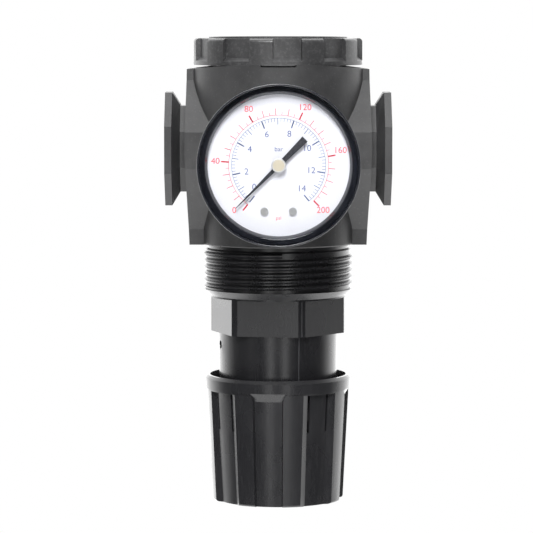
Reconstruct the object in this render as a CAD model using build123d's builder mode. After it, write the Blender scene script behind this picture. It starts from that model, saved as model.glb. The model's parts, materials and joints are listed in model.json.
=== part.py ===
from build123d import *
import os
from math import cos, radians, sin

# Line-mounted air pressure regulator with a dial gauge, in millimetres.
# Origin: port axis crosses the bonnet axis. +Z up, the knob hangs down, the gauge faces -Y.

# ---------------------------------------------------------------- fits
slip_gap = 0.1          # radial gap of pieces that are assembled and stay put
running_gap = 0.06      # radial gap of shafts that turn or slide
seal_relief = 0.03      # how far a seal stays short of the walls it touches

# ---------------------------------------------------------------- body
body_top = 30.25
body_bottom = -34.0
crown_radius = 260.0
ear_top_half_width = 32.25
ear_mid_half_width = 32.9
ear_bottom_half_width = 31.45
ear_tip_half_depth = 8.1
ear_full_half_depth = 22.0
ear_slope_top = 24.4
ear_full_height = 6.4
ear_slope_bottom = -28.5
upper_radius = 31.0
lower_radius = 27.6
edge_round = 0.5

# ---------------------------------------------------------------- port flanges
port_face = 40.0
flange_across = 40.0
flange_plate = 2.5
dovetail_run = 2.9
neck_across = 30.4
port_bore_radius = 9.3
port_depth = 20.0
port_chamfer = 1.2
port_wall_start = 2.0     # how far the necks and bosses run on past the chamber wall

# ---------------------------------------------------------------- air passages
seat_web_top = 3.0
seat_web_bottom = -1.0
seat_bore_radius = 5.0
seat_lip = 0.8
chamber_radius = 13.0
inlet_chamber_top = 16.0
control_web_top = -12.0
control_web_bottom = -15.0
passage_width = 12.0
aspirator_radius = 1.2
aspirator_count = 4
aspirator_circle = 9.0

# ---------------------------------------------------------------- gauge ports
gauge_z = -3.2
boss_radius = 12.0
boss_face = 33.5
gauge_thread_radius = 6.5
gauge_port_depth = 13.0
gauge_passage_radius = 2.0

# ---------------------------------------------------------------- valve cap
cap_bore_radius = 22.0
cap_rim_wall = 1.0
cap_radius = upper_radius - cap_rim_wall
cap_top = 39.1
cap_skirt = 29.7
cap_shelf = 29.5
cap_pocket_count = 10
cap_pocket_turn = 6.2
cap_pocket_width = 20.0
cap_pocket_depth = 1.7
cap_pocket_floor = 32.4
cap_pocket_ledge = 31.2
cap_edge_round = 1.3
cap_rim_radius = cap_radius - 5.4
cap_rim_height = 0.5
cap_rim_width = 1.2
cap_dish_depth = 2.5
cap_plug_bottom = 17.0
cap_wall = 3.0
cap_plug_wall = 2.4
cap_groove_depth = 1.6
cap_groove_height = 2.0
cap_groove_rise = 4.0     # groove's middle above the plug's lower end
guide_wall = 1.8
notch_width = 11.8
notch_depth = 1.0
notch_gap = 0.45

# ---------------------------------------------------------------- valve
stem_radius = 2.4
pad_radius = 7.4
pad_thickness = 2.0
poppet_radius = 8.0
poppet_thickness = 2.0
guide_length = 6.0
valve_lift = 1.5
valve_spring_radius = 5.8
valve_spring_wire = 0.5
valve_spring_turns = 4

# ---------------------------------------------------------------- diaphragm
diaphragm_shoulder = -20.0
lower_bore_radius = 22.5
clamp_width = 2.5         # rubber held between the shoulder and the slip ring
diaphragm_chamber_radius = lower_bore_radius - clamp_width
diaphragm_thickness = 1.2
slip_ring_thickness = 1.2
convolution_width = 5.0
convolution_drop = 1.4
plate_radius = diaphragm_chamber_radius - convolution_width
plate_thickness = 2.0
plate_skirt = 2.5
relief_seat_radius = 6.0
relief_shank_radius = 4.0
relief_bore_radius = 1.0
relief_seat_height = 1.2
relief_nut_across = 10.4
relief_nut_height = 2.2

# ---------------------------------------------------------------- bonnet
collar_bottom = -35.3
thread_crest_radius = 26.8
thread_height = 0.95
thread_root_radius = thread_crest_radius - thread_height
collar_radius = thread_root_radius - 0.65
thread_pitch = 2.25
thread_turn = 125.0
thread_runout = 1.4
thread_bottom = -50.0
thread_chamfer = 2.4
hex_top = -52.9
hex_bottom = -65.7
hex_across = 43.0
hex_corner_radius = 24.1
hex_turn = -9.8
tube_top_radius = 21.3
tube_bottom_radius = 20.9
tube_step = -88.0
tail_radius = 18.5
bonnet_end = -110.0
end_wall = 4.0
spring_bore_upper = 18.0
spring_bore_lower = 16.0
spring_bore_step = -84.0
vent_radius = 1.5
vent_z = -69.9
vent_turn = -75.0
key_count = 3
key_width = 3.0
key_reach = 1.2

# ---------------------------------------------------------------- screw, nut and main spring
screw_radius = 5.0
screw_top = -66.0
screw_point = 0.8
screw_tail = 2.4          # round part below the bonnet, which the circlip grips
washer_thickness = 1.0
screw_collar_radius = 9.0
screw_collar_thickness = 2.5
nut_bottom = -88.0
nut_thickness = 8.0
nut_key_drop = 3.0
drive_across = 8.4
circlip_radius = 7.6
circlip_thickness = 1.0
circlip_groove = 0.7
spring_mean_radius = 12.0
spring_wire = 1.6
spring_turns = 8
spring_centring = 2.5     # spigots that centre the spring's ends

# ---------------------------------------------------------------- knob
knob_rim_top = -80.9
knob_end = -126.0
knob_rim_radius = 26.1
knob_end_radius = 23.4
knob_end_round = 0.9
knob_rim_bevel = 1.1
knob_rim_height = 4.8
knob_rim_wall = 1.8
knob_rim_proud = 0.35
knob_wall = 3.2
knob_end_wall = 2.6
groove_depth = 1.8
narrow_turn = -8.4
narrow_open = 12.4
narrow_floor = 11.8
narrow_flare = 14.5
narrow_top = -85.4
narrow_full = -88.4
window_turn = 36.7
window_open = 16.5
window_floor = 11.0
window_top = -86.2
slit_turn = 9.7
slit_width = 0.9
slit_bottom = -99.7
hub_radius = 8.0
push_room = 0.4           # left below and above the knob's moving parts when it is pushed in
lock_travel = 3.5
lock_tooth_count = 20
lock_tooth_turn = 7.0
lock_tooth_height = 3.5
lock_tooth_outer = 20.4
lock_tooth_inner = 19.1
lock_tooth_gap = 0.4

# ---------------------------------------------------------------- gauge
case_back = 41.5
case_radius = 26.9
case_wall = 0.9
case_back_bevel = 1.5
rim_step = 0.7
rim_wall = 0.75
rim_radius = case_radius + rim_step
rim_start = 61.0
rim_round = 0.3
gauge_front = 66.0
window_bore_radius = rim_radius - rim_wall
dial_front = 60.0
dial_thickness = 0.5
dial_gap = 0.2
dial_radius = case_radius - case_wall - dial_gap
ring_width = 2.85
ring_flare = 0.9
ring_inner_radius = window_bore_radius - ring_width
ring_front_radius = ring_inner_radius + ring_flare
ring_gap = 0.2
lens_back = 63.4
lens_thickness = 1.9
lens_bevel = 0.9
socket_hex_across = 14.0
socket_top = 47.6
socket_radius = 5.0
lower_plate = 1.0
upper_plate_back = 57.4
upper_plate = 1.0
plate_half_width = 6.9
plate_top = 5.2
plate_bottom = -17.0
pivot_reach = 0.8         # arbor ends inside the plates
pillar_radius = 1.2
dial_post_radius = 1.7
pinion_teeth = 10
sector_full_teeth = 90
gear_module = 0.3
gear_back = 51.4
gear_thickness = 1.3
pivot_radius = 0.7
sector_tail = 6.0
sector_tail_turn = 289.0
tube_clearance = 4.5      # case wall to the tube's middle line
tube_mean_radius = case_radius - case_wall - tube_clearance
tube_radial = 2.6
tube_edge_round = 1.1
tube_socket_arc = 20.0
tube_block_wall = 0.6
tube_arm_width = 5.0
tube_back = 43.5
tube_depth = 7.0
tube_start_turn = 240.0
tube_sweep = 265.0
pointer_back = 61.3
pointer_thickness = 0.4
pointer_length = 20.5
pointer_tail = 12.6
pointer_tip_half = 0.12
pointer_neck_half = 0.75
pointer_tail_half = 1.25
pointer_turn = 225.0
pointer_hub_radius = 2.45
pointer_hub_front = 62.7
pointer_hub_round = 0.3
pointer_hub_skin = 0.8
dial_screw_x = 4.8
dial_screw_z = -15.6
dial_screw_head = 1.35
dial_screw_rise = 0.7
dial_screw_slot = 0.4
dial_screw_shank = 0.8
dial_screw_length = 2.0
stop_pin_x = -11.0
stop_pin_z = -12.05
stop_pin_radius = 0.45
stop_pin_rise = 0.9
spiral_start = 1.45
spiral_step = 0.22
spiral_half_turns = 14
spiral_strip = 0.12
spiral_depth = 0.7
spiral_rise = 2.0         # in front of the sector
link_width = 2.0
link_thickness = 0.6
link_gap = 0.15
link_pin_radius = 0.5

# ---------------------------------------------------------------- rear port plug
plug_inset = 0.6
plug_length = 8.0
plug_bevel = 0.5
plug_socket_across = 6.0
plug_socket_depth = 4.0


# ---------------------------------------------------------------- helpers
def polar(radius, turn):
    """Point at a radius and an angle counterclockwise from +X."""
    return (radius * cos(radians(turn)), radius * sin(radians(turn)))


def around(radius, turn):
    """Point at a radius and an angle from the front (-Y) towards +X."""
    return polar(radius, turn - 90)


def front_plane(depth):
    """Plane square to the gauge axis, this far in front of the bonnet axis: x is +X, y is +Z."""
    return Plane(origin=(0, -depth, gauge_z), x_dir=(1, 0, 0), z_dir=(0, -1, 0))


def rear_plane(depth):
    """The same behind the bonnet axis, facing +Y."""
    return Plane(origin=(0, depth, gauge_z), x_dir=(-1, 0, 0), z_dir=(0, 1, 0))


def side_plane(distance, side):
    """Plane square to the port axis, facing out of the port: x is +-Y, y is +Z."""
    return Plane(origin=(side * distance, 0, 0), x_dir=(0, side, 0), z_dir=(side, 0, 0))


def octagon(across):
    """Octagon with a flat at the top, by its distance across flats."""
    RegularPolygon(radius=across / 2, side_count=8, major_radius=False, rotation=22.5)


def export_piece(part, name):
    part.label = name
    export_step(part, f"parts/{name}.step")


os.makedirs("parts", exist_ok=True)

# ================================================================ body casting
reach = upper_radius + 2
crown_drop = crown_radius - (crown_radius**2 - reach**2) ** 0.5

with BuildPart() as body:
    with BuildSketch(Plane.XZ):
        with BuildLine():
            Polyline(
                (-ear_bottom_half_width, body_bottom),
                (-ear_mid_half_width, 0),
                (-ear_top_half_width, body_top),
                (ear_top_half_width, body_top),
                (ear_mid_half_width, 0),
                (ear_bottom_half_width, body_bottom),
                close=True,
            )
        make_face()
    extrude(amount=ear_full_half_depth, both=True)
    with BuildSketch(Plane.YZ):
        with BuildLine():
            Polyline(
                (-ear_tip_half_depth, body_bottom),
                (-ear_tip_half_depth, ear_slope_bottom),
                (-ear_full_half_depth, -ear_full_height),
                (-ear_full_half_depth, ear_full_height),
                (-ear_tip_half_depth, ear_slope_top),
                (-ear_tip_half_depth, body_top),
                (ear_tip_half_depth, body_top),
                (ear_tip_half_depth, ear_slope_top),
                (ear_full_half_depth, ear_full_height),
                (ear_full_half_depth, -ear_full_height),
                (ear_tip_half_depth, ear_slope_bottom),
                (ear_tip_half_depth, body_bottom),
                close=True,
            )
        make_face()
    extrude(amount=2 * ear_mid_half_width, both=True, mode=Mode.INTERSECT)
    with BuildSketch(Plane.XY):
        Circle(upper_radius)
    extrude(amount=body_top)
    with BuildSketch(Plane.XY.offset(body_bottom)):
        Circle(lower_radius)
    extrude(amount=-body_bottom)
    # crowned top
    with BuildSketch(Plane.XZ):
        with BuildLine():
            top_arc = ThreePointArc((-reach, body_top - crown_drop), (0, body_top),
                                    (reach, body_top - crown_drop))
            Polyline(top_arc @ 1, (reach, body_top + 2), (-reach, body_top + 2), top_arc @ 0)
        make_face()
    extrude(amount=reach, both=True, mode=Mode.SUBTRACT)
    # rounded outer edges of the casting
    rim_edges = body.edges().filter_by(GeomType.LINE, reverse=True).group_by(Axis.Z)[0]
    fillet(rim_edges, edge_round)
    # gauge bosses, front and rear
    for plane in (front_plane(0), rear_plane(0)):
        with BuildSketch(plane.offset(boss_face)):
            Circle(boss_radius)
        extrude(amount=-boss_face + chamber_radius + port_wall_start)
    # flanged ports
    for side in (-1, 1):
        with BuildSketch(side_plane(port_face, side)):
            octagon(flange_across)
        extrude(amount=-flange_plate)
        with BuildSketch(side_plane(port_face - flange_plate, side)):
            octagon(flange_across)
        with BuildSketch(side_plane(port_face - flange_plate - dovetail_run, side)):
            octagon(neck_across)
        loft()
        with BuildSketch(side_plane(port_face - flange_plate - dovetail_run, side)):
            octagon(neck_across)
        extrude(amount=chamber_radius + port_wall_start - (port_face - flange_plate - dovetail_run))
    # shelf and bore for the valve cap
    with BuildSketch(Plane.XY.offset(cap_shelf)):
        Circle(cap_radius + slip_gap)
    extrude(amount=5, mode=Mode.SUBTRACT)
    with BuildSketch(Plane.XY.offset(inlet_chamber_top)):
        Circle(cap_bore_radius)
    extrude(amount=body_top, mode=Mode.SUBTRACT)
    # notch in the front of the rim
    with BuildSketch(Plane.XZ.offset(cap_bore_radius)):
        with BuildLine():
            Polyline(
                (-notch_width / 2 - notch_depth, body_top + 1),
                (-notch_width / 2 - notch_depth, body_top),
                (-notch_width / 2, body_top - notch_depth),
                (notch_width / 2, body_top - notch_depth),
                (notch_width / 2 + notch_depth, body_top),
                (notch_width / 2 + notch_depth, body_top + 1),
                close=True,
            )
        make_face()
    extrude(amount=upper_radius, mode=Mode.SUBTRACT)
    # inlet chamber above the seat web, with the seat lip left standing
    with BuildSketch(Plane.XY.offset(seat_web_top + seat_lip)):
        Circle(chamber_radius)
    extrude(amount=inlet_chamber_top - seat_web_top - seat_lip, mode=Mode.SUBTRACT)
    with BuildSketch(Plane.XY.offset(seat_web_top)):
        Circle(chamber_radius)
        Circle(seat_bore_radius + seat_lip, mode=Mode.SUBTRACT)
    extrude(amount=seat_lip, mode=Mode.SUBTRACT)
    with BuildSketch(Plane.XY.offset(seat_web_bottom)):
        Circle(seat_bore_radius)
    extrude(amount=seat_web_top + seat_lip - seat_web_bottom, mode=Mode.SUBTRACT)
    # outlet chamber, control web with its stem guide and aspirator holes
    with BuildSketch(Plane.XY.offset(control_web_top)):
        Circle(chamber_radius)
    extrude(amount=seat_web_bottom - control_web_top, mode=Mode.SUBTRACT)
    with BuildSketch(Plane.XY.offset(control_web_bottom)):
        Circle(stem_radius + running_gap)
        with PolarLocations(aspirator_circle, aspirator_count, start_angle=45):
            Circle(aspirator_radius)
    extrude(amount=control_web_top - control_web_bottom, mode=Mode.SUBTRACT)
    # diaphragm chamber and the bore that takes the bonnet
    with BuildSketch(Plane.XY.offset(diaphragm_shoulder)):
        Circle(diaphragm_chamber_radius)
    extrude(amount=control_web_bottom - diaphragm_shoulder, mode=Mode.SUBTRACT)
    with BuildSketch(Plane.XY.offset(body_bottom)):
        Circle(lower_bore_radius)
    extrude(amount=diaphragm_shoulder - body_bottom, mode=Mode.SUBTRACT)
    # port bores and the passages from them
    for side in (-1, 1):
        with BuildSketch(side_plane(port_face, side)):
            Circle(port_bore_radius)
        extrude(amount=-port_depth, mode=Mode.SUBTRACT)
        with BuildSketch(side_plane(port_face, side)):
            Circle(port_bore_radius + port_chamfer)
        with BuildSketch(side_plane(port_face - port_chamfer, side)):
            Circle(port_bore_radius)
        loft(mode=Mode.SUBTRACT)
    inlet_height = port_bore_radius - seat_web_top
    outlet_height = port_bore_radius + seat_web_bottom
    passage_end = port_face - port_depth
    passage_start = chamber_radius - 3
    passage_length = passage_end - passage_start
    passage_middle = (passage_start + passage_end) / 2
    with BuildSketch(Plane.XY.offset(seat_web_top)):
        with Locations((-passage_middle, 0)):
            Rectangle(passage_length, passage_width)
    extrude(amount=inlet_height, mode=Mode.SUBTRACT)
    with BuildSketch(Plane.XY.offset(seat_web_bottom)):
        with Locations((passage_middle, 0)):
            Rectangle(passage_length, passage_width)
    extrude(amount=-outlet_height, mode=Mode.SUBTRACT)
    # gauge ports
    for plane in (front_plane(0), rear_plane(0)):
        with BuildSketch(plane.offset(boss_face)):
            Circle(gauge_thread_radius + slip_gap)
        extrude(amount=-gauge_port_depth, mode=Mode.SUBTRACT)
    with BuildSketch(front_plane(boss_face)):
        Circle(gauge_passage_radius)
    extrude(amount=-boss_face, mode=Mode.SUBTRACT)
export_piece(body.part, "body")

# ================================================================ valve cap
guide_bottom = seat_web_top + seat_lip + pad_thickness + poppet_thickness + valve_lift + 1.5
groove_root = cap_bore_radius - cap_groove_depth
groove_middle = cap_plug_bottom + cap_groove_rise
floor_radius = cap_radius - cap_pocket_depth


def pocket_section(inner_radius, turn):
    """Cross-section of a castellation's cutter, from an inner radius out past the cap's edge."""
    low_turn = turn - cap_pocket_width / 2
    high_turn = turn + cap_pocket_width / 2
    outside = cap_radius + 2
    with BuildLine() as outline:
        inner = ThreePointArc(around(inner_radius, low_turn), around(inner_radius, turn),
                              around(inner_radius, high_turn))
        Polyline(inner @ 1, around(outside, high_turn), around(outside, turn), around(outside, low_turn),
                 inner @ 0)
    make_face(outline.edges())


with BuildPart() as valve_cap:
    with BuildSketch(Plane.XY.offset(cap_skirt)):
        Circle(cap_radius)
    extrude(amount=cap_top - cap_skirt)
    top_edge = valve_cap.edges().group_by(Axis.Z)[-1]
    fillet(top_edge, cap_edge_round)
    # castellations: open-topped pockets with a sloped floor
    for index in range(cap_pocket_count):
        turn = cap_pocket_turn + index * 360 / cap_pocket_count
        with BuildSketch(Plane.XY.offset(cap_pocket_floor)):
            pocket_section(floor_radius, turn)
        extrude(amount=cap_top, mode=Mode.SUBTRACT)
        with BuildSketch(Plane.XY.offset(cap_pocket_floor)):
            pocket_section(floor_radius, turn)
        with BuildSketch(Plane.XY.offset(cap_pocket_ledge)):
            pocket_section(cap_radius, turn)
        loft(ruled=True, mode=Mode.SUBTRACT)
    # raised inner rim round a shallow dished top
    with BuildSketch(Plane.XY.offset(cap_top)):
        Circle(cap_rim_radius)
    extrude(amount=cap_rim_height)
    with BuildSketch(Plane.XY.offset(cap_top + cap_rim_height)):
        Circle(cap_rim_radius - cap_rim_width)
    extrude(amount=-cap_dish_depth, mode=Mode.SUBTRACT)
    # plug that fills the top bore, hollow below
    with BuildSketch(Plane.XY.offset(cap_plug_bottom)):
        Circle(cap_bore_radius - slip_gap)
    extrude(amount=cap_skirt - cap_plug_bottom)
    with BuildSketch(Plane.XY.offset(cap_plug_bottom)):
        Circle(groove_root - cap_plug_wall)
    extrude(amount=cap_top - cap_dish_depth - cap_wall - cap_plug_bottom, mode=Mode.SUBTRACT)
    # boss that seats the valve spring and holds the stem guide
    with BuildSketch(Plane.XY.offset(cap_plug_bottom)):
        Circle(valve_spring_radius + valve_spring_wire + 1)
    extrude(amount=cap_top - cap_plug_bottom - cap_wall)
    with BuildSketch(Plane.XY.offset(guide_bottom)):
        Circle(stem_radius + guide_wall)
    extrude(amount=cap_plug_bottom - guide_bottom)
    with BuildSketch(Plane.XY.offset(guide_bottom)):
        Circle(stem_radius + running_gap)
    extrude(amount=guide_length + valve_lift + 0.5, mode=Mode.SUBTRACT)
    # seal groove
    with BuildSketch(Plane.XY.offset(groove_middle - cap_groove_height / 2)):
        Circle(cap_bore_radius)
        Circle(groove_root, mode=Mode.SUBTRACT)
    extrude(amount=cap_groove_height, mode=Mode.SUBTRACT)
    # tab that sits in the body's notch
    with BuildSketch(Plane.XZ.offset(cap_radius - 4)):
        with BuildLine():
            tab_bottom = body_top - notch_depth + notch_gap
            Polyline(
                (-notch_width / 2 + notch_gap, tab_bottom),
                (-notch_width / 2 - 0.3, cap_skirt + 0.6),
                (notch_width / 2 + 0.3, cap_skirt + 0.6),
                (notch_width / 2 - notch_gap, tab_bottom),
                close=True,
            )
        make_face()
    tab_reach = upper_radius - 0.3 - (cap_radius - 4)
    extrude(amount=tab_reach)
export_piece(valve_cap.part, "valve_cap")

seal_wire = (cap_bore_radius - groove_root) / 2 - seal_relief
with BuildPart() as cap_oring:
    with BuildSketch(Plane.XZ):
        with Locations(((cap_bore_radius + groove_root) / 2, groove_middle)):
            Circle(seal_wire)
    revolve(axis=Axis.Z)
export_piece(cap_oring.part, "cap_oring")

# ================================================================ valve poppet, its rubber pad and spring
pad_bottom = seat_web_top + seat_lip
poppet_bottom = pad_bottom + pad_thickness
poppet_top = poppet_bottom + poppet_thickness
stem_bottom = diaphragm_shoulder + relief_seat_height

with BuildPart() as valve_poppet:
    with BuildSketch(Plane.XY.offset(stem_bottom)):
        Circle(stem_radius)
    extrude(amount=guide_bottom + guide_length - stem_bottom)
    with BuildSketch(Plane.XY.offset(poppet_bottom)):
        Circle(poppet_radius)
    extrude(amount=poppet_thickness)
    with BuildSketch(Plane.XY.offset(poppet_bottom - 1.0)):
        Circle(poppet_radius)
        Circle(pad_radius + seal_relief, mode=Mode.SUBTRACT)
    extrude(amount=1.0)
export_piece(valve_poppet.part, "valve_poppet")

with BuildPart() as valve_pad:
    with BuildSketch(Plane.XY.offset(pad_bottom)):
        Circle(pad_radius)
        Circle(stem_radius + seal_relief, mode=Mode.SUBTRACT)
    extrude(amount=pad_thickness)
export_piece(valve_pad.part, "valve_pad")


def coil_path(mean_radius, wire_radius, bottom, top, turns):
    """Centre line of a coil that stands between two seats."""
    low = bottom + wire_radius + seal_relief
    high = top - wire_radius - seal_relief
    return Helix(pitch=(high - low) / turns, height=high - low, radius=mean_radius, center=(0, 0, low))


with BuildPart() as valve_spring:
    with BuildLine() as valve_coil:
        coil_path(valve_spring_radius, valve_spring_wire, poppet_top, cap_plug_bottom, valve_spring_turns)
    with BuildSketch(Plane(origin=valve_coil.line @ 0, z_dir=valve_coil.line % 0)):
        Circle(valve_spring_wire)
    sweep(path=valve_coil.line, is_frenet=True)
export_piece(valve_spring.part, "valve_spring")

# ================================================================ diaphragm, its plate, relief seat and slip ring
diaphragm_bottom = diaphragm_shoulder - diaphragm_thickness
ring_bottom = diaphragm_bottom - slip_ring_thickness
web_middle = diaphragm_shoulder - diaphragm_thickness / 2
convolution = (plate_radius + diaphragm_chamber_radius) / 2
convolution_half = (diaphragm_chamber_radius - plate_radius) / 2 - 0.4
shank_radius = relief_shank_radius

with BuildPart() as diaphragm:
    with BuildSketch(Plane.XZ):
        with BuildLine():
            low_wave = ThreePointArc((convolution - convolution_half, diaphragm_bottom),
                                     (convolution, diaphragm_bottom - convolution_drop),
                                     (convolution + convolution_half, diaphragm_bottom))
            Polyline(low_wave @ 1, (lower_bore_radius - slip_gap, diaphragm_bottom),
                     (lower_bore_radius - slip_gap, diaphragm_shoulder),
                     (convolution + convolution_half, diaphragm_shoulder))
            ThreePointArc((convolution + convolution_half, diaphragm_shoulder),
                          (convolution, diaphragm_shoulder - convolution_drop),
                          (convolution - convolution_half, diaphragm_shoulder))
            Polyline((convolution - convolution_half, diaphragm_shoulder),
                     (shank_radius, diaphragm_shoulder),
                     (shank_radius, diaphragm_bottom), low_wave @ 0)
        make_face()
    revolve(axis=Axis.Z)
export_piece(diaphragm.part, "diaphragm")

with BuildPart() as diaphragm_plate:
    with BuildSketch(Plane.XY.offset(diaphragm_bottom - plate_thickness)):
        Circle(plate_radius)
        Circle(shank_radius, mode=Mode.SUBTRACT)
    extrude(amount=plate_thickness)
    plate_edge = diaphragm_plate.edges().filter_by(GeomType.CIRCLE).group_by(SortBy.RADIUS)[-1]
    fillet(plate_edge, 0.4)
    # short skirt that centres the main spring
    with BuildSketch(Plane.XY.offset(diaphragm_bottom - plate_thickness)):
        Circle(spring_mean_radius - spring_wire - 0.4)
        Circle(relief_seat_radius + 1.5, mode=Mode.SUBTRACT)
    extrude(amount=-plate_skirt)
export_piece(diaphragm_plate.part, "diaphragm_plate")

with BuildPart() as relief_seat:
    with BuildSketch(Plane.XY.offset(diaphragm_shoulder)):
        Circle(relief_seat_radius)
    extrude(amount=stem_bottom - diaphragm_shoulder)
    with BuildSketch(Plane.XY.offset(diaphragm_bottom - plate_thickness)):
        Circle(shank_radius - slip_gap)
    extrude(amount=diaphragm_thickness + plate_thickness)
    with BuildSketch(Plane.XY.offset(stem_bottom)):
        Circle(relief_bore_radius)
    extrude(amount=-10, mode=Mode.SUBTRACT)
    # nut below the plate
    with BuildSketch(Plane.XY.offset(diaphragm_bottom - plate_thickness)):
        RegularPolygon(radius=relief_nut_across / 2, side_count=6, major_radius=False)
        Circle(relief_bore_radius, mode=Mode.SUBTRACT)
    extrude(amount=-relief_nut_height)
export_piece(relief_seat.part, "relief_seat")

with BuildPart() as slip_ring:
    with BuildSketch(Plane.XY.offset(ring_bottom)):
        Circle(lower_bore_radius - slip_gap)
        Circle(diaphragm_chamber_radius, mode=Mode.SUBTRACT)
    extrude(amount=slip_ring_thickness)
export_piece(slip_ring.part, "slip_ring")

# ================================================================ bonnet
def lock_teeth(inner, outer, first_turn):
    """Ring of lock teeth between two radii."""
    for index in range(lock_tooth_count):
        middle = first_turn + index * 360 / lock_tooth_count
        low = middle - lock_tooth_turn / 2
        high = middle + lock_tooth_turn / 2
        with BuildLine() as outline:
            Polyline(polar(inner, low), polar(outer, low), polar(outer, high), polar(inner, high), close=True)
        make_face(outline.edges())


screw_hole_radius = screw_radius + running_gap
tube_middle_radius = tube_top_radius - (tube_top_radius - tube_bottom_radius) / 2

with BuildPart() as bonnet:
    with BuildSketch(Plane.XZ):
        with BuildLine():
            Polyline(
                (spring_bore_upper, ring_bottom - 4),
                (diaphragm_chamber_radius, ring_bottom - 2),
                (diaphragm_chamber_radius, ring_bottom),
                (lower_bore_radius - slip_gap, ring_bottom),
                (lower_bore_radius - slip_gap, body_bottom),
                (collar_radius, body_bottom),
                (collar_radius, collar_bottom),
                (thread_root_radius, collar_bottom - 0.6),
                (thread_root_radius, thread_bottom),
                (thread_crest_radius, thread_bottom),
                (thread_crest_radius - thread_chamfer, thread_bottom - thread_chamfer),
                (thread_crest_radius - thread_chamfer, hex_top),
                (tube_top_radius, hex_top),
                (tube_top_radius, hex_bottom),
                (tube_bottom_radius, tube_step),
                (tail_radius, tube_step),
                (tail_radius, bonnet_end),
                (screw_hole_radius, bonnet_end),
                (screw_hole_radius, bonnet_end + end_wall),
                (spring_bore_lower, bonnet_end + end_wall),
                (spring_bore_lower, spring_bore_step),
                (spring_bore_upper, spring_bore_step),
                close=True,
            )
        make_face()
    revolve(axis=Axis.Z)
    # hexagon with its corners turned off
    with BuildSketch(Plane.XY.offset(hex_bottom)):
        RegularPolygon(radius=hex_across / 2, side_count=6, major_radius=False, rotation=hex_turn)
        Circle(hex_corner_radius, mode=Mode.INTERSECT)
        Circle(tube_middle_radius - 1, mode=Mode.SUBTRACT)
    extrude(amount=hex_top - hex_bottom)
    # panel thread
    helix_bottom = thread_bottom + thread_pitch / 2
    helix_height = collar_bottom - thread_runout - helix_bottom
    with BuildLine() as thread_path:
        Helix(pitch=thread_pitch, height=helix_height, radius=thread_root_radius, center=(0, 0, helix_bottom))
    helix = thread_path.wires()[0].rotate(Axis.Z, thread_turn)
    with BuildSketch(Plane(origin=helix @ 0, x_dir=(*polar(1, thread_turn), 0), z_dir=helix % 0)):
        with BuildLine():
            Polyline((-0.15, -0.43 * thread_pitch), (thread_height, -0.1 * thread_pitch),
                     (thread_height, 0.1 * thread_pitch), (-0.15, 0.43 * thread_pitch), close=True)
        make_face()
    sweep(path=helix, is_frenet=True)
    # vent hole
    vent_plane = Plane(origin=(0, 0, vent_z), x_dir=(0, 0, 1),
                       z_dir=(*around(1, vent_turn), 0))
    with BuildSketch(vent_plane):
        Circle(vent_radius)
    extrude(amount=tube_top_radius + 5, mode=Mode.SUBTRACT)
    # keyways that stop the spring nut from turning
    with BuildSketch(Plane.XY.offset(nut_bottom - 1.5)):
        with PolarLocations(spring_bore_lower, key_count):
            Rectangle(2 * (key_reach + slip_gap), key_width + 2 * slip_gap)
    extrude(amount=spring_bore_step - nut_bottom + 1.5, mode=Mode.SUBTRACT)
    # lock teeth round the tail, which the pushed-in knob engages
    with BuildSketch(Plane.XY.offset(tube_step - lock_tooth_height)):
        lock_teeth(tail_radius - 0.5, lock_tooth_outer, 0)
    extrude(amount=lock_tooth_height)
export_piece(bonnet.part, "bonnet")

# ================================================================ main spring, nut, screw, washer and circlip
nut_top = nut_bottom + nut_thickness
spring_seat = diaphragm_bottom - plate_thickness

with BuildPart() as regulating_spring:
    with BuildLine() as main_coil:
        coil_path(spring_mean_radius, spring_wire, nut_top, spring_seat, spring_turns)
    with BuildSketch(Plane(origin=main_coil.line @ 0, z_dir=main_coil.line % 0)):
        Circle(spring_wire)
    sweep(path=main_coil.line, is_frenet=True)
export_piece(regulating_spring.part, "regulating_spring")

with BuildPart() as spring_nut:
    with BuildSketch(Plane.XY.offset(nut_bottom)):
        Circle(spring_bore_lower - 2 * slip_gap)
        with PolarLocations(spring_bore_lower - 1, key_count):
            Rectangle(2 * (key_reach + 1) - 2 * slip_gap - 2, key_width - 2 * slip_gap)
        Circle(screw_radius + running_gap, mode=Mode.SUBTRACT)
    extrude(amount=nut_thickness - nut_key_drop)
    with BuildSketch(Plane.XY.offset(nut_bottom)):
        Circle(spring_bore_lower - 2 * slip_gap)
        Circle(screw_radius + running_gap, mode=Mode.SUBTRACT)
    extrude(amount=nut_thickness)
    with BuildSketch(Plane.XY.offset(nut_top)):
        Circle(spring_mean_radius - spring_wire - 0.4)
        Circle(screw_radius + running_gap, mode=Mode.SUBTRACT)
    extrude(amount=spring_centring)
export_piece(spring_nut.part, "spring_nut")

wall_inside = bonnet_end + end_wall
with BuildPart() as thrust_washer:
    with BuildSketch(Plane.XY.offset(wall_inside)):
        Circle(screw_collar_radius)
        Circle(screw_radius + slip_gap, mode=Mode.SUBTRACT)
    extrude(amount=washer_thickness)
export_piece(thrust_washer.part, "thrust_washer")

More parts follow.
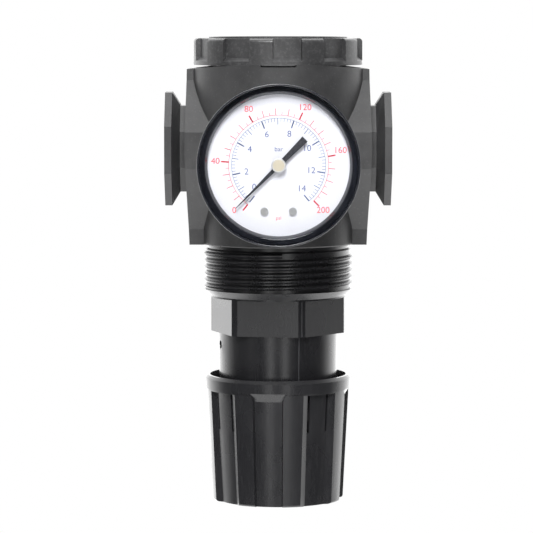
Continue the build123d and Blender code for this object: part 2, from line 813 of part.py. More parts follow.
collar_base = wall_inside + washer_thickness
drive_end = knob_end + knob_end_wall + lock_travel + push_room
circlip_top = bonnet_end - 0.1
with BuildPart() as adjusting_screw:
    with BuildSketch(Plane.XY.offset(bonnet_end - screw_tail)):
        Circle(screw_radius)
    extrude(amount=screw_top - bonnet_end + screw_tail)
    chamfer(adjusting_screw.edges().group_by(Axis.Z)[-1], screw_point)
    with BuildSketch(Plane.XY.offset(collar_base)):
        Circle(screw_collar_radius)
    extrude(amount=screw_collar_thickness)
    with BuildSketch(Plane.XY.offset(drive_end)):
        RegularPolygon(radius=drive_across / 2, side_count=6, major_radius=False)
    extrude(amount=bonnet_end - screw_tail - drive_end)
    with BuildSketch(Plane.XY.offset(circlip_top - circlip_thickness)):
        Circle(screw_radius + 1)
        Circle(screw_radius - circlip_groove, mode=Mode.SUBTRACT)
    extrude(amount=circlip_thickness, mode=Mode.SUBTRACT)
export_piece(adjusting_screw.part, "adjusting_screw")

with BuildPart() as circlip:
    with BuildSketch(Plane.XY.offset(circlip_top - circlip_thickness + 0.05)):
        Circle(circlip_radius)
        Circle(screw_radius - circlip_groove + 0.02, mode=Mode.SUBTRACT)
        with Locations((circlip_radius, 0)):
            Rectangle(2 * circlip_radius - 2, 3.5, mode=Mode.SUBTRACT)
    extrude(amount=circlip_thickness - 0.1)
export_piece(circlip.part, "circlip")

# ================================================================ knob
knob_length = knob_rim_top - knob_end


def knob_radius(z):
    """Outer radius of the tapered knob at a height."""
    return knob_end_radius + (knob_rim_radius - knob_end_radius) * (z - knob_end) / knob_length


def groove_section(z, depth, half_floor, half_open, turn):
    """Cross-section of the tool that cuts a groove, at a height."""
    floor = knob_radius(z) - depth
    mouth = knob_radius(z) + 1.5
    spread = half_floor + (half_open - half_floor) * (depth + 1.5) / groove_depth
    with BuildLine() as outline:
        inner = ThreePointArc(around(floor, turn - half_floor), around(floor, turn),
                              around(floor, turn + half_floor))
        outer = ThreePointArc(around(mouth, turn + spread), around(mouth, turn), around(mouth, turn - spread))
        Line(inner @ 1, outer @ 0)
        Line(outer @ 1, inner @ 0)
    make_face(outline.edges())


rim_bottom = knob_rim_top - knob_rim_height
inner_top = knob_radius(rim_bottom) - knob_wall
inner_end = knob_radius(knob_end) - knob_wall
below_end = knob_end - 1
hub_top = bonnet_end - screw_tail - lock_travel - push_room

with BuildPart() as knob:
    with BuildSketch(Plane.XZ):
        with BuildLine():
            Polyline(
                (0, knob_end),
                (knob_end_radius, knob_end),
                (knob_radius(rim_bottom) - knob_rim_proud, rim_bottom),
                (knob_radius(rim_bottom), rim_bottom),
                (knob_rim_radius, knob_rim_top - knob_rim_bevel),
                (knob_rim_radius - 0.8 * knob_rim_bevel, knob_rim_top),
                (knob_rim_radius - knob_rim_wall, knob_rim_top),
                (knob_rim_radius - knob_rim_wall - 0.1, rim_bottom + 1),
                (inner_top, rim_bottom - 1),
                (inner_end, knob_end + knob_end_wall),
                (0, knob_end + knob_end_wall),
                close=True,
            )
        make_face()
    revolve(axis=Axis.Z)
    end_edge = knob.edges().group_by(Axis.Z)[0]
    fillet(end_edge, knob_end_round)
    for index in range(4):
        turn = narrow_turn + 90 * index
        with BuildSketch(Plane.XY.offset(narrow_top)):
            groove_section(narrow_top, knob_rim_proud - 0.1, narrow_flare, narrow_flare, turn)
        with BuildSketch(Plane.XY.offset(narrow_full)):
            groove_section(narrow_full, groove_depth, narrow_floor, narrow_open, turn)
        loft(ruled=True, mode=Mode.SUBTRACT)
        with BuildSketch(Plane.XY.offset(narrow_full)):
            groove_section(narrow_full, groove_depth, narrow_floor, narrow_open, turn)
        with BuildSketch(Plane.XY.offset(below_end)):
            groove_section(below_end, groove_depth, narrow_floor, narrow_open, turn)
        loft(ruled=True, mode=Mode.SUBTRACT)
        turn = window_turn + 90 * index
        with BuildSketch(Plane.XY.offset(window_top)):
            groove_section(window_top, groove_depth, window_floor, window_open, turn)
        with BuildSketch(Plane.XY.offset(below_end)):
            groove_section(below_end, groove_depth, window_floor, window_open, turn)
        loft(ruled=True, mode=Mode.SUBTRACT)
        # two slits that free a snap finger
        for side in (-1, 1):
            slit = Plane(origin=(0, 0, slit_bottom), x_dir=(*around(1, turn + side * slit_turn + 90), 0),
                         z_dir=(0, 0, 1))
            with BuildSketch(slit):
                with Locations((0, -knob_rim_radius)):
                    Rectangle(slit_width, 2 * knob_wall + 4)
            extrude(amount=window_top - slit_bottom, mode=Mode.SUBTRACT)
    # hub with the hexagon socket that slides on the screw
    with BuildSketch(Plane.XY.offset(knob_end + knob_end_wall)):
        Circle(hub_radius)
    extrude(amount=hub_top - knob_end - knob_end_wall)
    with BuildSketch(Plane.XY.offset(knob_end + knob_end_wall)):
        RegularPolygon(radius=drive_across / 2 + slip_gap, side_count=6, major_radius=False)
    extrude(amount=hub_top - knob_end, mode=Mode.SUBTRACT)
    # ring of lock teeth below the bonnet's teeth
    tooth_top = tube_step - lock_tooth_height - lock_tooth_gap
    with BuildSketch(Plane.XY.offset(tooth_top - lock_tooth_height)):
        lock_teeth(lock_tooth_inner, inner_top, 180 / lock_tooth_count)
    extrude(amount=lock_tooth_height)
export_piece(knob.part, "knob")

# ================================================================ gauge: case, window ring, lens
with BuildPart() as gauge_case:
    with BuildSketch(Plane(origin=(0, 0, gauge_z), x_dir=(1, 0, 0), z_dir=(0, 0, 1))):
        with BuildLine():
            Polyline(
                (socket_radius + slip_gap, -case_back),
                (case_radius - case_back_bevel, -case_back),
                (case_radius, -case_back - case_back_bevel),
                (case_radius, -rim_start),
                (rim_radius, -rim_start - rim_step),
                (rim_radius, -gauge_front),
                (window_bore_radius, -gauge_front),
                (window_bore_radius, -dial_front),
                (case_radius - case_wall, -dial_front),
                (case_radius - case_wall, -case_back - case_wall),
                (socket_radius + slip_gap, -case_back - case_wall),
                close=True,
            )
        make_face()
    revolve(axis=Axis((0, 0, gauge_z), (0, 1, 0)))
    lip_edges = gauge_case.edges().group_by(Axis.Y)[0]
    fillet(lip_edges, rim_round)
export_piece(gauge_case.part, "gauge_case")

with BuildPart() as window_ring:
    with BuildSketch(Plane(origin=(0, 0, gauge_z), x_dir=(1, 0, 0), z_dir=(0, 0, 1))):
        with BuildLine():
            Polyline(
                (ring_inner_radius, -dial_front - ring_gap),
                (window_bore_radius - slip_gap, -dial_front - ring_gap),
                (window_bore_radius - slip_gap, -lens_back),
                (ring_front_radius, -lens_back),
                (ring_inner_radius, -dial_front - ring_gap - ring_flare),
                close=True,
            )
        make_face()
    revolve(axis=Axis((0, 0, gauge_z), (0, 1, 0)))
export_piece(window_ring.part, "window_ring")

with BuildPart() as lens:
    with BuildSketch(front_plane(lens_back)):
        Circle(window_bore_radius - slip_gap)
    extrude(amount=lens_thickness)
    chamfer(lens.edges().group_by(Axis.Y)[0], lens_bevel)
export_piece(lens.part, "lens")

# ================================================================ gauge: dial and what is on it
dial_back = dial_front - dial_thickness
with BuildPart() as dial:
    with BuildSketch(front_plane(dial_back)):
        Circle(dial_radius)
        Circle(1.6, mode=Mode.SUBTRACT)
        with Locations((-dial_screw_x, dial_screw_z), (dial_screw_x, dial_screw_z)):
            Circle(dial_screw_shank + slip_gap, mode=Mode.SUBTRACT)
        with Locations((stop_pin_x, stop_pin_z)):
            Circle(stop_pin_radius, mode=Mode.SUBTRACT)
    extrude(amount=dial_thickness)
export_piece(dial.part, "dial")

with BuildPart() as dial_screws:
    with BuildSketch(front_plane(dial_front)):
        with Locations((-dial_screw_x, dial_screw_z), (dial_screw_x, dial_screw_z)):
            Circle(dial_screw_head)
    extrude(amount=dial_screw_rise)
    with BuildSketch(front_plane(dial_front + dial_screw_rise)):
        with Locations((-dial_screw_x, dial_screw_z), (dial_screw_x, dial_screw_z)):
            Rectangle(2 * dial_screw_head + 0.3, dial_screw_slot)
    extrude(amount=-dial_screw_rise / 2, mode=Mode.SUBTRACT)
    with BuildSketch(front_plane(dial_front)):
        with Locations((-dial_screw_x, dial_screw_z), (dial_screw_x, dial_screw_z)):
            Circle(dial_screw_shank)
    extrude(amount=-dial_screw_length)
export_piece(dial_screws.part, "dial_screws")

with BuildPart() as stop_pin:
    with BuildSketch(front_plane(dial_back)):
        with Locations((stop_pin_x, stop_pin_z)):
            Circle(stop_pin_radius)
    extrude(amount=dial_thickness + stop_pin_rise)
export_piece(stop_pin.part, "stop_pin")

with BuildPart() as pointer:
    with BuildSketch(front_plane(pointer_back)):
        with BuildLine():
            tip = polar(pointer_length, pointer_turn)
            tail = polar(pointer_tail, pointer_turn + 180)
            side_x, side_z = polar(1, pointer_turn + 90)
            Polyline(
                (tip[0] + pointer_tip_half * side_x, tip[1] + pointer_tip_half * side_z),
                (pointer_neck_half * side_x, pointer_neck_half * side_z),
                (tail[0] + pointer_tail_half * side_x, tail[1] + pointer_tail_half * side_z),
                (tail[0] - pointer_tail_half * side_x, tail[1] - pointer_tail_half * side_z),
                (-pointer_neck_half * side_x, -pointer_neck_half * side_z),
                (tip[0] - pointer_tip_half * side_x, tip[1] - pointer_tip_half * side_z),
                close=True,
            )
        make_face()
        Circle(pointer_hub_radius - 0.4)
        Circle(pivot_radius + slip_gap / 2, mode=Mode.SUBTRACT)
    extrude(amount=pointer_thickness)
export_piece(pointer.part, "pointer")

pinion_front = pointer_hub_front - pointer_hub_skin
with BuildPart() as pointer_hub:
    with BuildSketch(front_plane(pointer_back + pointer_thickness)):
        Circle(pointer_hub_radius)
    extrude(amount=pointer_hub_front - pointer_back - pointer_thickness)
    fillet(pointer_hub.edges().group_by(Axis.Y)[0], pointer_hub_round)
    with BuildSketch(front_plane(pointer_back + pointer_thickness)):
        Circle(pivot_radius + slip_gap / 2)
    extrude(amount=pinion_front - pointer_back - pointer_thickness + 0.05, mode=Mode.SUBTRACT)
export_piece(pointer_hub.part, "pointer_hub")

# ================================================================ gauge: socket, Bourdon tube and movement
tube_inner = tube_mean_radius - tube_radial / 2
tube_outer = tube_mean_radius + tube_radial / 2
block_outer = tube_outer + tube_block_wall
block_inner = tube_inner - tube_block_wall
block_turn = tube_start_turn + 2.0


def tube_section(first_turn, last_turn):
    """Arc-shaped face between the Bourdon tube's inner and outer radius."""
    middle = (first_turn + last_turn) / 2
    with BuildLine() as outline:
        low = ThreePointArc(polar(tube_inner, first_turn), polar(tube_inner, middle),
                            polar(tube_inner, last_turn))
        high = ThreePointArc(polar(tube_outer, first_turn), polar(tube_outer, middle),
                             polar(tube_outer, last_turn))
        Line(low @ 0, high @ 0)
        Line(low @ 1, high @ 1)
    make_face(outline.edges())


with BuildPart() as gauge_socket:
    with BuildSketch(front_plane(boss_face - gauge_port_depth + 1)):
        Circle(gauge_thread_radius)
    extrude(amount=gauge_port_depth - 1)
    with BuildSketch(front_plane(boss_face + 0.5)):
        RegularPolygon(radius=socket_hex_across / 2, side_count=6, major_radius=False)
    extrude(amount=case_back - boss_face - 0.5)
    with BuildSketch(front_plane(boss_face)):
        Circle(gauge_thread_radius - 0.5)
    extrude(amount=0.5)
    with BuildSketch(front_plane(case_back)):
        Circle(socket_radius)
    extrude(amount=socket_top - case_back)
    # arm and block that carry the tube's fixed end
    arm_back = case_back + case_wall + 0.2
    with BuildSketch(front_plane(arm_back)):
        with Locations(Rotation(0, 0, block_turn)):
            with Locations((block_outer / 2, 0)):
                Rectangle(block_outer, tube_arm_width)
    extrude(amount=socket_top - 0.4 - arm_back)
    with BuildSketch(front_plane(arm_back)):
        with Locations(Rotation(0, 0, block_turn)):
            with Locations(((block_outer + block_inner) / 2, 0)):
                Rectangle(block_outer - block_inner, tube_arm_width)
    extrude(amount=tube_back + tube_depth + tube_block_wall - arm_back)
    # pocket for the tube's end
    with BuildSketch(front_plane(tube_back)):
        tube_section(tube_start_turn, tube_start_turn - tube_socket_arc)
    extrude(amount=tube_depth, mode=Mode.SUBTRACT)
    # air way
    with BuildSketch(front_plane(boss_face - gauge_port_depth + 1)):
        Circle(1.5)
    extrude(amount=socket_top - boss_face + gauge_port_depth - 3, mode=Mode.SUBTRACT)
export_piece(gauge_socket.part, "gauge_socket")

with BuildPart() as bourdon_tube:
    with BuildSketch(front_plane(tube_back)):
        tube_section(tube_start_turn, tube_start_turn - tube_sweep)
    extrude(amount=tube_depth)
    long_edges = bourdon_tube.edges().filter_by(GeomType.CIRCLE)
    fillet(long_edges, tube_edge_round)
export_piece(bourdon_tube.part, "bourdon_tube")

# movement: two plates on pillars, with the pinion on the gauge axis and the sector below it
pinion_pitch = gear_module * pinion_teeth / 2
sector_pitch = gear_module * sector_full_teeth / 2
sector_z = -(pinion_pitch + sector_pitch)
pillars = [(-5.2, 3.5), (5.2, 3.5), (-5.4, -15.6), (5.4, -13.6)]
lower_front = socket_top + lower_plate


def movement_plate():
    """A movement plate's outline, with the holes of both arbors."""
    middle = (plate_top + plate_bottom) / 2
    with Locations((0, middle)):
        Rectangle(2 * plate_half_width, plate_top - plate_bottom)
    with Locations((0, 0), (0, sector_z)):
        Circle(pivot_radius + running_gap, mode=Mode.SUBTRACT)


with BuildPart() as movement_frame:
    with BuildSketch(front_plane(socket_top)):
        movement_plate()
    extrude(amount=lower_plate)
    with BuildSketch(front_plane(upper_plate_back)):
        movement_plate()
    extrude(amount=upper_plate)
    with BuildSketch(front_plane(lower_front)):
        with Locations(*pillars):
            Circle(pillar_radius)
    extrude(amount=upper_plate_back - lower_front)
    # posts that carry the dial
    with BuildSketch(front_plane(upper_plate_back + upper_plate)):
        with Locations((-dial_screw_x, dial_screw_z), (dial_screw_x, dial_screw_z)):
            Circle(dial_post_radius)
    extrude(amount=dial_back - upper_plate_back - upper_plate)
    with BuildSketch(front_plane(dial_back)):
        with Locations((-dial_screw_x, dial_screw_z), (dial_screw_x, dial_screw_z)):
            Circle(dial_screw_shank + 0.03)
    extrude(amount=-1.8, mode=Mode.SUBTRACT)
export_piece(movement_frame.part, "movement_frame")


def gear_tooth(pitch_radius, turn):
    """One tapered tooth that stands on its root circle."""
    root = pitch_radius - 1.2 * gear_module
    tip_radius = pitch_radius + 0.8 * gear_module
    root_half = 0.62 * gear_module
    tip_half = 0.3 * gear_module
    along_x, along_y = polar(1, turn)
    across_x, across_y = polar(1, turn + 90)
    inner = root - 0.1
    with BuildLine() as outline:
        Polyline(
            (inner * along_x + root_half * across_x, inner * along_y + root_half * across_y),
            (tip_radius * along_x + tip_half * across_x, tip_radius * along_y + tip_half * across_y),
            (tip_radius * along_x - tip_half * across_x, tip_radius * along_y - tip_half * across_y),
            (inner * along_x - root_half * across_x, inner * along_y - root_half * across_y),
            close=True,
        )
    make_face(outline.edges())


with BuildPart() as pinion_shaft:
    with BuildSketch(front_plane(lower_front - pivot_reach)):
        Circle(pivot_radius)
    extrude(amount=pinion_front - lower_front + pivot_reach)
    with BuildSketch(front_plane(gear_back - 0.4)):
        Circle(pinion_pitch - 1.2 * gear_module)
        for index in range(pinion_teeth):
            gear_tooth(pinion_pitch, 270 + (index + 0.5) * 360 / pinion_teeth)
    extrude(amount=gear_thickness + 0.8)
export_piece(pinion_shaft.part, "pinion_shaft")

sector_step = 360 / sector_full_teeth
sector_root = sector_pitch - 1.2 * gear_module
first_turn = 90 - 9 * sector_step
last_turn = 90 + 2 * sector_step
sector_foot = lower_front - pivot_reach
with BuildPart() as sector_gear:
    with BuildSketch(front_plane(gear_back).shift_origin((0, -gear_back, gauge_z + sector_z))):
        with BuildLine():
            rim_arc = ThreePointArc(polar(sector_root, first_turn - 2), polar(sector_root, 75),
                                    polar(sector_root, last_turn + 2))
            Polyline(rim_arc @ 1, polar(sector_root - 2.2, last_turn + 2), polar(3.0, 110), polar(3.0, 40),
                     polar(sector_root - 2.2, first_turn - 2), rim_arc @ 0)
        make_face()
        for index in range(12):
            gear_tooth(sector_pitch, first_turn + index * sector_step)
        Circle(2.6)
        with Locations(Rotation(0, 0, sector_tail_turn)):
            with Locations((sector_tail / 2, 0)):
                SlotCenterToCenter(sector_tail, 2.4)
    extrude(amount=gear_thickness)
    with BuildSketch(front_plane(sector_foot).shift_origin((0, -sector_foot, gauge_z + sector_z))):
        Circle(pivot_radius)
    extrude(amount=upper_plate_back - lower_front + 2 * pivot_reach)
    tail_x, tail_z = polar(sector_tail, sector_tail_turn)
    with BuildSketch(front_plane(gear_back)):
        with Locations((tail_x, sector_z + tail_z)):
            Circle(link_pin_radius)
    extrude(amount=gear_thickness + link_gap + link_thickness + 0.25)
export_piece(sector_gear.part, "sector_gear")

tip_turn = tube_start_turn - tube_sweep
tip_x, tip_z = polar(tube_mean_radius, tip_turn)
link_back = gear_back + gear_thickness + link_gap
link_run = Vector(tip_x - tail_x, tip_z - sector_z - tail_z, 0)
link_turn = Vector(1, 0, 0).get_signed_angle(link_run, Vector(0, 0, 1))
with BuildPart() as link:
    with BuildSketch(front_plane(link_back)):
        link_middle = Pos((tip_x + tail_x) / 2, (tip_z + sector_z + tail_z) / 2)
        with Locations(link_middle * Rotation(0, 0, link_turn)):
            SlotCenterToCenter(link_run.length, link_width)
        with Locations((tail_x, sector_z + tail_z)):
            Circle(link_pin_radius + running_gap, mode=Mode.SUBTRACT)
        with Locations((tip_x, tip_z)):
            Circle(link_pin_radius + running_gap, mode=Mode.SUBTRACT)
    extrude(amount=link_thickness)
export_piece(link.part, "link")

with BuildPart() as hairspring:
    with BuildSketch(front_plane(gear_back + gear_thickness + spiral_rise)):
        with BuildLine():
            for index in range(spiral_half_turns):
                side = 1 if index % 2 == 0 else -1
                centre = 0 if index % 2 == 0 else spiral_step
                radius = spiral_start + index * spiral_step
                ThreePointArc((centre + side * radius, 0), (centre, side * radius), (centre - side * radius, 0))
        trace(line_width=spiral_strip)
    extrude(amount=spiral_depth)
export_piece(hairspring.part, "hairspring")

# ================================================================ rear port plug
with BuildPart() as rear_port_plug:
    with BuildSketch(rear_plane(boss_face - plug_inset)):
        Circle(gauge_thread_radius)
    extrude(amount=-plug_length)
    chamfer(rear_port_plug.edges().group_by(Axis.Y)[-1], plug_bevel)
    with BuildSketch(rear_plane(boss_face - plug_inset)):
        RegularPolygon(radius=plug_socket_across / 2, side_count=6, major_radius=False)
    extrude(amount=-plug_socket_depth, mode=Mode.SUBTRACT)
export_piece(rear_port_plug.part, "rear_port_plug")
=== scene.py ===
"""Looks of a line-mounted air pressure regulator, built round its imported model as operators."""

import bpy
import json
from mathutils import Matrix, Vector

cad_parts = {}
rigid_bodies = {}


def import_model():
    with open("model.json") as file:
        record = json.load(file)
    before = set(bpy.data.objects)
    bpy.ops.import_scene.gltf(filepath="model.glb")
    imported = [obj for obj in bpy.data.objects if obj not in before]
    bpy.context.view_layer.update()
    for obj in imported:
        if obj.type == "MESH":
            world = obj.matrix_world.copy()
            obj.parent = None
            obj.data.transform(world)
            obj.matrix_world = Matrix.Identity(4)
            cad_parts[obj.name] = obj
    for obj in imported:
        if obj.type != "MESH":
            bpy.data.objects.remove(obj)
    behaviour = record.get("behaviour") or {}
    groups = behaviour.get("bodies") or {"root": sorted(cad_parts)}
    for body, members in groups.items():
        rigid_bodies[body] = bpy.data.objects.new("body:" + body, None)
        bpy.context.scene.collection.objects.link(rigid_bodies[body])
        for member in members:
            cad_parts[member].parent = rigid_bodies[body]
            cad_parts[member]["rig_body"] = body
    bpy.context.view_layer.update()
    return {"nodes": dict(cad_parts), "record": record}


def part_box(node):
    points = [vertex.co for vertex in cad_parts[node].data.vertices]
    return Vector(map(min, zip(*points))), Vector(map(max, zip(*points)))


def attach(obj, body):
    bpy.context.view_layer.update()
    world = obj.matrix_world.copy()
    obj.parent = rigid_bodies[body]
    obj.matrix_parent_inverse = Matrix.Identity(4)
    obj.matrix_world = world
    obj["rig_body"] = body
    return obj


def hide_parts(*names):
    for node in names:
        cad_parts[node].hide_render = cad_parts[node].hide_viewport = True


bl_info = {
    "name": "Air pressure regulator looks",
    "version": (1, 0, 0),
    "blender": (4, 5, 0),
    "location": "3D View > Sidebar > Regulator",
    "description": "Rounds the castings, prints the dial, winds the threads and mixes the finishes",
    "category": "Object",
}

import json
import math

import bpy
from mathutils import Vector

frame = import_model()
MM = 0.001

# The gauge's axis is Y through the dial's middle. The bonnet's axis is Z through the origin.
DIAL_LOW, DIAL_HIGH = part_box("dial")
DIAL_MIDDLE = (DIAL_LOW + DIAL_HIGH) / 2
DIAL_FRONT = DIAL_LOW.y
KNOB_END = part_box("knob")[0].z

# Rounded copies: node, edge radius in millimetres, segments
ROUNDED_NODES = (
    ("body", 0.45, 3),
    ("valve_cap", 0.3, 3),
    ("bonnet", 0.3, 2),
    ("knob", 0.35, 3),
    ("gauge_case", 0.18, 2),
    ("window_ring", 0.3, 3),
    ("dial_screws", 0.12, 2),
    ("pointer", 0.1, 2),
    ("pointer_hub", 0.1, 2),
    ("rear_port_plug", 0.2, 2),
    ("gauge_socket", 0.2, 2),
    ("adjusting_screw", 0.15, 2),
)
SHELL_WELD = 0.004 * MM               # doubles in a CAD mesh lie nearer than this
PRINT_WELD = 0.002 * MM               # and those in the pieces made here
FLAT_LIMIT = math.radians(0.05)       # triangles this nearly level are merged
ROUND_LIMIT = math.radians(28)        # edges sharper than this are rounded
SMOOTH_LIMIT = math.radians(24)       # and those less sharp than this are shaded smooth
RIM_SLACK = 0.05 * MM                 # how near a vertex lies to count as on the gauge's rim
RIM_SEGMENTS = 6

# Dial scales. Angles are counterclockwise from +X as the dial is read.
ZERO_ANGLE = math.radians(231.8)
ANGLE_PER_BAR = math.radians(20.1)
BAR_PER_PSI = 1 / 14.5038
# Numerals at the ends of the scales stand a little further round than their lines, in degrees.
BAR_NUDGE = {0: -10.0, 14: 4.0}
PSI_NUDGE = {0: -6.3, 80: -2.8, 160: 3.5}
BAR_FULL = 14
PSI_FULL = 200
ARC_STEPS = 120
# Unit marks, in millimetres: their height, and how far each stands from the dial's middle
UNIT_HEIGHT = 1.5
BAR_MARK_RADIUS = 5.4
PSI_MARK_RADIUS = 17.9

# Port threads, in millimetres, measured from the middle of the part
PORT_BORE = 9.3
THREAD_START = 38.6
THREAD_TURNS = 9
RIDGE_HALF = 0.42                     # half the ridge's width, as a share of the pitch
RIDGE_SUNK = 0.1                      # how far its foot is sunk into the wall

# Parting lines: turn from the front, then height at the top and bottom and the radius at each
SEAM_TURN = math.radians(20.2)
SEAM_RUNS = ((-53.2, -65.5, 24.1, 24.1), (-66.0, -87.6, 21.29, 20.91))
SEAM_ROUND = 0.05

# Hub of the pointer: turned rings in radians per metre of radius, and where the paler rim begins
HUB_RINGS = 42000
HUB_RIM = (1.75 * MM, 2.1 * MM)

# Lights: name, place and size in metres, and the setting that holds the power
LIGHTS = (
    ("key_light", (-0.05, -0.95, 0.72), (0.5, 0.5), "key_power"),
    ("front_light_left", (-0.36, -1.4, -0.05), (0.3, 1.0), "front_power"),
    ("front_light_right", (0.34, -1.4, -0.05), (0.3, 1.0), "front_power"),
    ("side_light", (-0.95, -0.75, 0.10), (0.3, 0.5), "side_power"),
    ("top_light", (-0.05, 0.05, 0.85), (0.7, 0.7), "top_power"),
)
LIGHT_TARGET = Vector((0, 0, -0.03))
FLOOR_SIZE = 3.0
# Sweep of the world: how far back it brightens, how high the ceiling begins, and the ceiling's glow
SWEEP_REACH = (0.0, 0.8)
CEILING_REACH = (0.45, 0.95)
CEILING_GLOW = 0.25


# ------------------------------------------------------------------ settings
def length(title, text, value):
    """Length property, given in millimetres."""
    return bpy.props.FloatProperty(name=title, description=text, default=value * MM, min=0.0,
                                   precision=5, unit="LENGTH")


def colour(title, text, value):
    """Linear colour property."""
    return bpy.props.FloatVectorProperty(name=title, description=text, default=value, size=3,
                                         min=0.0, max=1.0, subtype="COLOR")


def power(title, text, value):
    """Power of a light, in watts."""
    return bpy.props.FloatProperty(name=title, description=text, default=value, min=0.0,
                                   unit="POWER")


def glow(title, text, value):
    """Brightness of a surface or of the world."""
    return bpy.props.FloatProperty(name=title, description=text, default=value, min=0.0)


class RegulatorSizes(bpy.types.PropertyGroup):
    ink_thickness: length("Ink thickness", "How far the dial's print stands off its face", 0.03)
    ink_lift: length("Ink lift", "Gap that keeps the print clear of the dial's face", 0.01)
    bar_arc: length("Bar arc", "Radius of the inner scale's arc", 15.9)
    psi_arc: length("Psi arc", "Radius of the outer scale's arc", 16.9)
    bar_numerals: length("Bar numerals", "Radius of the inner scale's numerals", 11.1)
    psi_numerals: length("Psi numerals", "Radius of the outer scale's numerals", 21.4)
    bar_height: length("Bar numeral height", "Height of the inner scale's numerals", 2.1)
    psi_height: length("Psi numeral height", "Height of the outer scale's numerals", 2.1)
    port_pitch: length("Port thread pitch", "Pitch of the pipe thread in both ports", 1.814)
    port_ridge: length("Port thread height", "How far the thread stands into the bore", 0.55)
    rim_round: length("Gauge rim rounding", "Radius of the outer edge of the gauge's front", 1.0)
    seam_width: length("Seam width", "Width of the moulding's parting line", 0.3)
    seam_height: length("Seam height", "How far the parting line stands proud", 0.12)


class RegulatorColours(bpy.types.PropertyGroup):
    paint: colour("Cast paint", "Satin enamel on the cast body", (0.026, 0.026, 0.027))
    paint_worn: colour("Cast paint, dusty", "Lighter patches in the enamel", (0.060, 0.060, 0.061))
    moulding: colour("Moulding", "Black glass-filled mouldings", (0.011, 0.011, 0.0125))
    moulding_pale: colour("Moulding, pale", "Where fibres show in the mouldings",
                          (0.020, 0.020, 0.0215))
    cap: colour("Cap", "Black of the sand-blasted cap", (0.030, 0.030, 0.031))
    cap_dusty: colour("Cap, dusty", "Pale grains in the cap", (0.085, 0.085, 0.087))
    gauge: colour("Gauge case", "Glossy black of the gauge", (0.006, 0.007, 0.011))
    dial: colour("Dial", "White of the dial plate", (0.73, 0.725, 0.75))
    blue_ink: colour("Blue ink", "Print of the inner scale", (0.07, 0.10, 0.25))
    blue_line: colour("Blue line", "Fine lines of the inner scale", (0.05, 0.11, 0.26))
    red_ink: colour("Red ink", "Print of the outer scale", (0.80, 0.06, 0.08))
    pointer: colour("Pointer", "Black of the pointer", (0.005, 0.005, 0.010))
    hub: colour("Pointer hub", "Warm metal of the pointer's hub", (0.58, 0.52, 0.39))


class RegulatorStage(bpy.types.PropertyGroup):
    camera_place: bpy.props.FloatVectorProperty(
        name="Camera place", description="Where the camera stands", size=3,
        default=(-0.0041, -1.1, 0.048), subtype="TRANSLATION", unit="LENGTH")
    camera_tilt: bpy.props.FloatProperty(
        name="Camera tilt", description="Turn about X, ninety degrees is level",
        default=math.radians(85.3), subtype="ANGLE")
    camera_lens: bpy.props.FloatProperty(
        name="Focal length", description="Focal length on a 36 mm sensor, in millimetres",
        default=208.2)
    floor_drop: length("Floor drop", "Height of the knob's end above the floor", 900.0)
    key_power: power("Key light", "Power of the light above the camera", 20.0)
    front_power: power("Front light", "Power of each tall light beside the camera", 2.2)
    side_power: power("Side light", "Power of the light at the front left", 0.5)
    top_power: power("Top light", "Power of the light over the part", 4.0)
    back_glow: glow("Back glow", "Brightness of the sweep behind the part", 3.0)
    front_glow: glow("Front glow", "Brightness of the room before the part", 0.05)
    floor_glow: glow("Floor glow", "Light that the floor itself gives", 1.0)


# ------------------------------------------------------------------ shader kit
class Value:
    """A number that flows through a material: arithmetic on it adds Math nodes."""

    def __init__(self, recipe, socket):
        self.recipe = recipe
        self.socket = socket

    def math(self, operation, *terms):
        node = self.recipe.tree.nodes.new("ShaderNodeMath")
        node.operation = operation
        for place, term in enumerate(terms):
            self.recipe.fill(node.inputs[place], term)
        return Value(self.recipe, node.outputs[0])

    def __add__(self, other):
        return self.math("ADD", self, other)

    def __radd__(self, other):
        return self.math("ADD", other, self)

    def __rsub__(self, other):
        return self.math("SUBTRACT", other, self)

    def __mul__(self, other):
        return self.math("MULTIPLY", self, other)

    def __rmul__(self, other):
        return self.math("MULTIPLY", other, self)

    def ramp(self, low, high, to_low=0.0, to_high=1.0):
        """This value from low to high, eased and spread over another range."""
        node = self.recipe.node("ShaderNodeMapRange", {"interpolation_type": "SMOOTHSTEP"},
                                {"Value": self, "From Min": low, "From Max": high,
                                 "To Min": to_low, "To Max": to_high})
        return Value(self.recipe, node.outputs["Result"])


